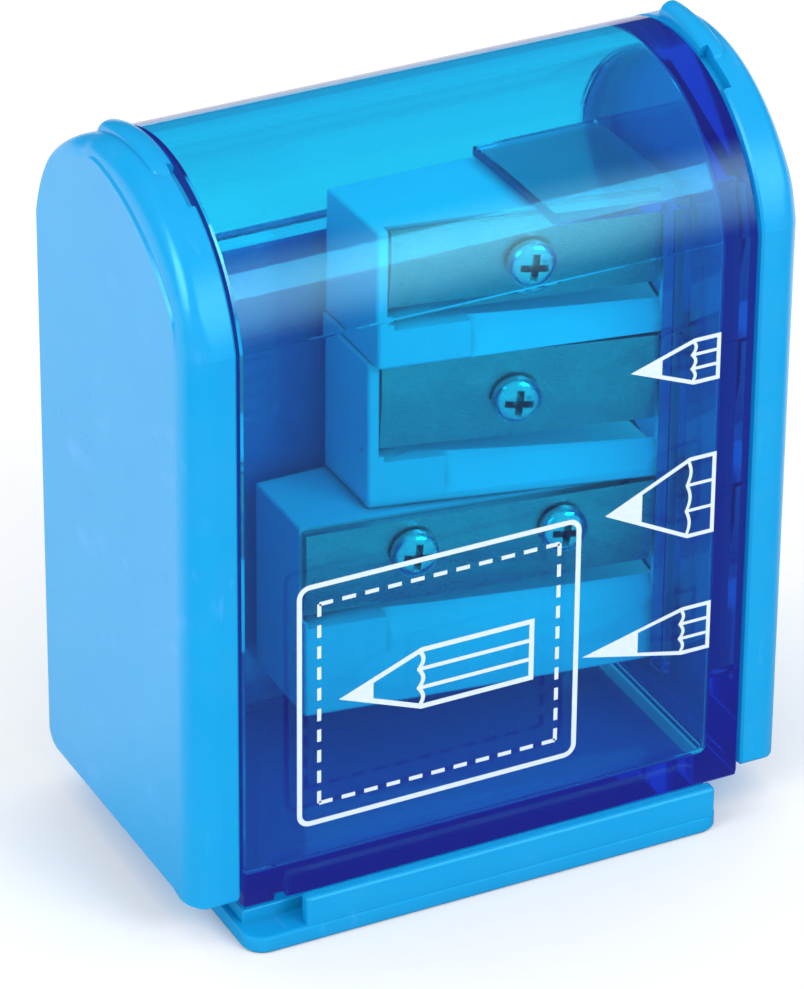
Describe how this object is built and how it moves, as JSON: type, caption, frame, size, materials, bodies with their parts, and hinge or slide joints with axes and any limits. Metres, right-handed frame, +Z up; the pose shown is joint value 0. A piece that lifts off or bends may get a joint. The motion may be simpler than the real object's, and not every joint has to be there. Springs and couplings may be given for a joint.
{
  "type": "three-hole pencil sharpener with a shavings hopper",
  "caption": "Arched box pencil sharpener: a clear hopper with holes for standard, jumbo and long-point pencils slides off a foot frame to be emptied.",
  "frame": {"origin": "middle of the footprint, on the surface the foot plate stands on", "axes": "+Z up, -Y towards the clear front wall, +X towards the cap with the pencil holes"},
  "size_m": [0.053, 0.0308, 0.065],
  "materials": {
    "cap_plastic": "light blue moulded plastic, satin with a soft sheen",
    "clear_plastic": "transparent blue moulded plastic, polished",
    "block_plastic": "light blue moulded plastic, satin",
    "blade_steel": "hardened steel strip with a ground bevel",
    "screw_steel": "plated steel, pan head with a cross recess"
  },
  "bodies": {
    "frame": {"base_frame": "cap_plastic", "left_cap": "cap_plastic"},
    "hopper_unit": {"clear_hopper": "clear_plastic", "right_cap": "cap_plastic", "sharpener_block": "block_plastic", "blade_standard": "blade_steel", "blade_jumbo": "blade_steel", "blade_long_point": "blade_steel", "screw_standard": "screw_steel", "screw_jumbo": "screw_steel", "screw_long_point_left": "screw_steel", "screw_long_point_right": "screw_steel"}
  },
  "joints": [
    {"name": "hopper_slide", "type": "slide", "parent": "frame", "child": "hopper_unit", "axis": [1, 0, 0], "range_m": [0, 0.042]}
  ]
}
